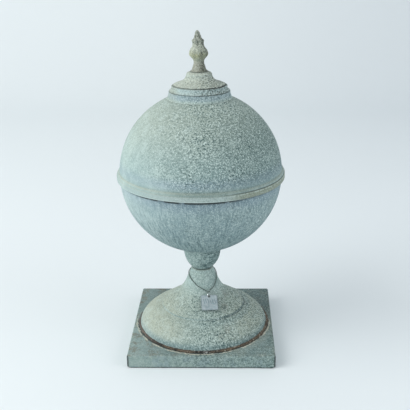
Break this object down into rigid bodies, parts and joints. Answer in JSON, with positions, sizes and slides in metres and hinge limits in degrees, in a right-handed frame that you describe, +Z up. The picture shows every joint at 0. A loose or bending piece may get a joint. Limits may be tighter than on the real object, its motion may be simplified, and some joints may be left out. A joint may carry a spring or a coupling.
{
  "type": "finial",
  "caption": "Roof finial of patinated sheet metal: a globe on a spun foot and square base, under a cap and a cast bud, with a small tag on a cord.",
  "frame": {"origin": "middle of the square base's underside", "axes": "+Z up along the finial's axis, -Y towards the viewer and the tag, +X to the viewer's right"},
  "size_m": [0.31, 0.31, 0.5929],
  "materials": {
    "plate_patina": "dull grey-green patina over sheet metal, darker and browner along the folds",
    "foot_patina": "dull pale grey-green patina, bluer down the rim",
    "bead_brown": "rough rust-brown bead with a pale chipped edge",
    "cup_patina": "dull grey-green patina with level teal streaks",
    "globe_lower_patina": "dull bluish patina with streaks that run down",
    "globe_upper_patina": "pale verdigris, finely mottled with dark teal specks",
    "collar_patina": "dull bluish patina",
    "cap_patina": "pale patina, pitted, with dark blots in the grooves",
    "bud_patina": "pale olive-green patina, dark in the hollows",
    "tag_metal": "dull bluish lead-grey, stamped",
    "ring_steel": "bright wire",
    "cord_dark": "dark waxed twine",
    "knot_dark": "dark waxed twine"
  },
  "bodies": {
    "root": {"base_plate": "plate_patina", "foot": "foot_patina", "foot_bead": "bead_brown", "neck_cup": "cup_patina", "globe_lower": "globe_lower_patina", "globe_upper": "globe_upper_patina", "collar": "collar_patina", "cap": "cap_patina", "tip": "bud_patina", "tag": "tag_metal", "tag_ring": "ring_steel", "cord_knot": "knot_dark", "tag_cord": "cord_dark"}
  },
  "joints": []
}
